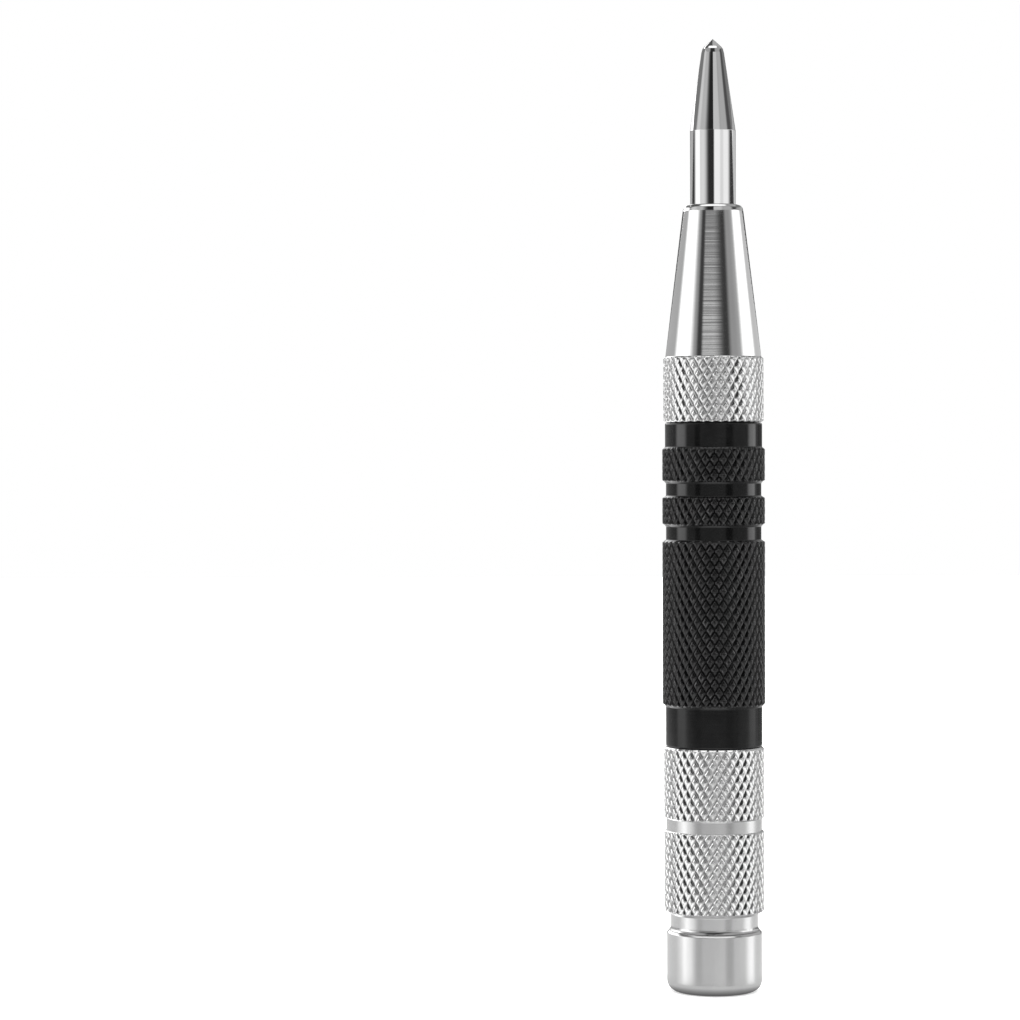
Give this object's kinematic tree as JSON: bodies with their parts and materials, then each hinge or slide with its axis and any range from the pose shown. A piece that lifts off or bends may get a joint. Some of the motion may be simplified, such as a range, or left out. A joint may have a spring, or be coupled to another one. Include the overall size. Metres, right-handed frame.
{
  "type": "center punch",
  "caption": "Automatic spring-loaded center punch with knurled black barrel, polished conical nose, pressing tip and screw adjuster that sets the strike force.",
  "frame": {"origin": "centre of the end cap's flat end face, which the punch stands on", "axes": "+Z along the punch's axis, from the end cap to the point; +X is the side away from the retaining clip's mouth, and the trip pin's end leans towards -X at rest"},
  "size_m": [0.014, 0.014, 0.13],
  "materials": {
    "hardened_steel": "ground and mirror polished hardened steel",
    "polished_nickel": "polished nickel over fine turning marks, with a knurled collar",
    "knurled_nickel": "bright nickel over diamond knurling",
    "satin_nickel": "satin nickel, turned",
    "black_finish": "black finish over diamond knurling, satin to semi-gloss",
    "black_spring_steel": "black oxide",
    "ground_steel": "hardened and ground",
    "spring_steel": "drawn spring wire, oiled",
    "brass": "turned"
  },
  "bodies": {
    "housing": {"barrel": "black_finish", "nose_cone": "polished_nickel", "centring_bush": "ground_steel", "return_spring": "spring_steel"},
    "plunger": {"punch_tip": "hardened_steel", "tip_retaining_clip": "black_spring_steel"},
    "trip": {"trip_pin": "ground_steel"},
    "striker": {"hammer": "ground_steel"},
    "spring_seat": {"rear_spring_seat": "brass", "main_spring": "spring_steel"},
    "adjuster": {"adjuster_sleeve": "knurled_nickel", "end_cap": "satin_nickel"}
  },
  "joints": [
    {"name": "tip_press", "type": "slide", "parent": "housing", "child": "plunger", "axis": [0, 0, -1], "range_m": [0, 0.009], "stiffness_N_per_m": 300, "springref_m": -0.01, "deforming": ["return_spring"]},
    {"name": "trip_pin_tilt", "type": "hinge", "parent": "plunger", "child": "trip", "pos_m": [0, 0, 0.0759], "axis": [0, -1, 0], "range_deg": [0, 1.05]},
    {"name": "hammer_cock", "type": "slide", "parent": "housing", "child": "striker", "axis": [0, 0, -1], "range_m": [0, 0.009], "stiffness_N_per_m": 1500, "springref_m": -0.01, "deforming": ["main_spring"]},
    {"name": "adjuster_travel", "type": "slide", "parent": "housing", "child": "spring_seat", "axis": [0, 0, -1], "range_m": [0, 0.004]},
    {"name": "adjuster_turn", "type": "hinge", "parent": "spring_seat", "child": "adjuster", "pos_m": [0, 0, 0], "axis": [0, 0, -1], "range_deg": [0, 1440]}
  ],
  "couplings": [
    {"joint": "hammer_cock", "follows": "tip_press", "ratio": 1},
    {"joint": "trip_pin_tilt", "follows": "tip_press", "rad_per_m": 2.036},
    {"joint": "adjuster_turn", "follows": "adjuster_travel", "rad_per_m": 6283.2}
  ]
}
